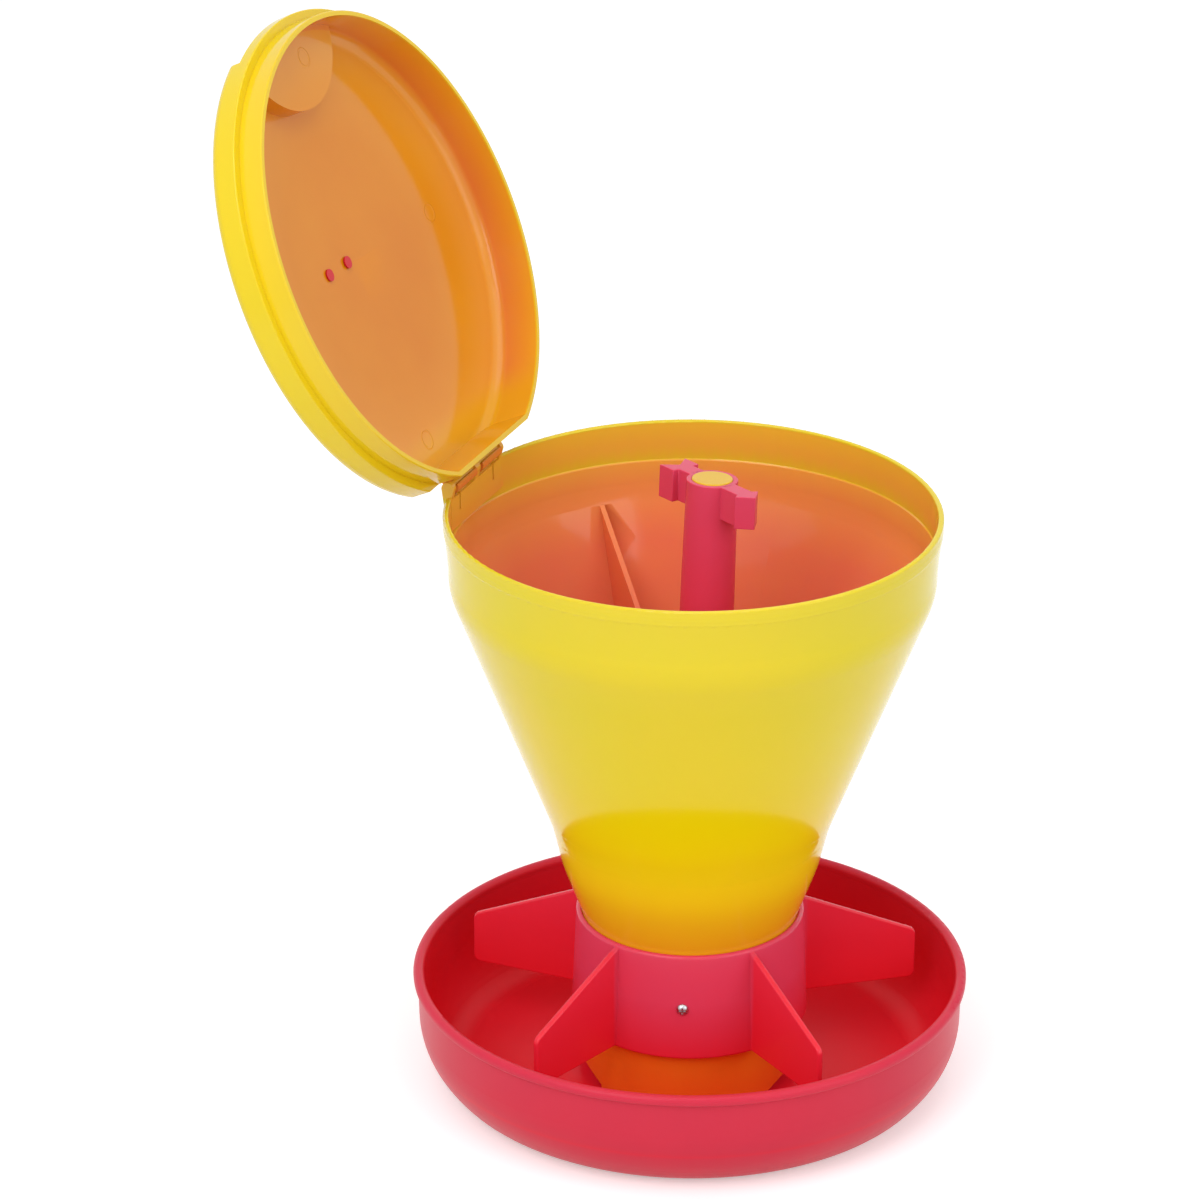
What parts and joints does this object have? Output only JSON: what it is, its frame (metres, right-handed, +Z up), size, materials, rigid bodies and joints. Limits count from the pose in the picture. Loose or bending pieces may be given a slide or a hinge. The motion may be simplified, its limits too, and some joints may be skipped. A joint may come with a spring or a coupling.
{
  "type": "piglet hopper feeder",
  "caption": "Round plastic creep feeder for piglets: a conical hopper with a hinged lid stands in a low trough divided by radial fins, with a T-handle lock shaft in the middle.",
  "frame": {"origin": "middle of the flat underside of the pan, on the hopper's axis", "axes": "+Z up along the hopper's axis; +Y to the back, where the lid is hinged; +X to the right seen from the front"},
  "size_m": [0.2696, 0.3497, 0.5103],
  "materials": {
    "red_plastic": "glossy red polypropylene",
    "yellow_plastic": "glossy yellow polypropylene",
    "screw_steel": "zinc-plated steel"
  },
  "bodies": {
    "base": {"pan": "red_plastic", "spreader_cone": "yellow_plastic", "cone_screws": "screw_steel", "hopper": "yellow_plastic", "divider_ring": "red_plastic", "ring_screws": "screw_steel"},
    "lid": {"lid": "yellow_plastic", "lid_plugs": "red_plastic"},
    "lock_shaft": {"lock_shaft": "red_plastic", "shaft_cap": "yellow_plastic"}
  },
  "joints": [
    {"name": "lid_hinge", "type": "hinge", "parent": "base", "child": "lid", "pos_m": [0, 0.1128, 0.2983], "axis": [1, 0, 0], "range_deg": [0, 115]},
    {"name": "shaft_turn", "type": "hinge", "parent": "base", "child": "lock_shaft", "pos_m": [0, 0, 0.02], "axis": [0.0533, -0.0126, 0.9985], "range_deg": [0, 90]}
  ]
}
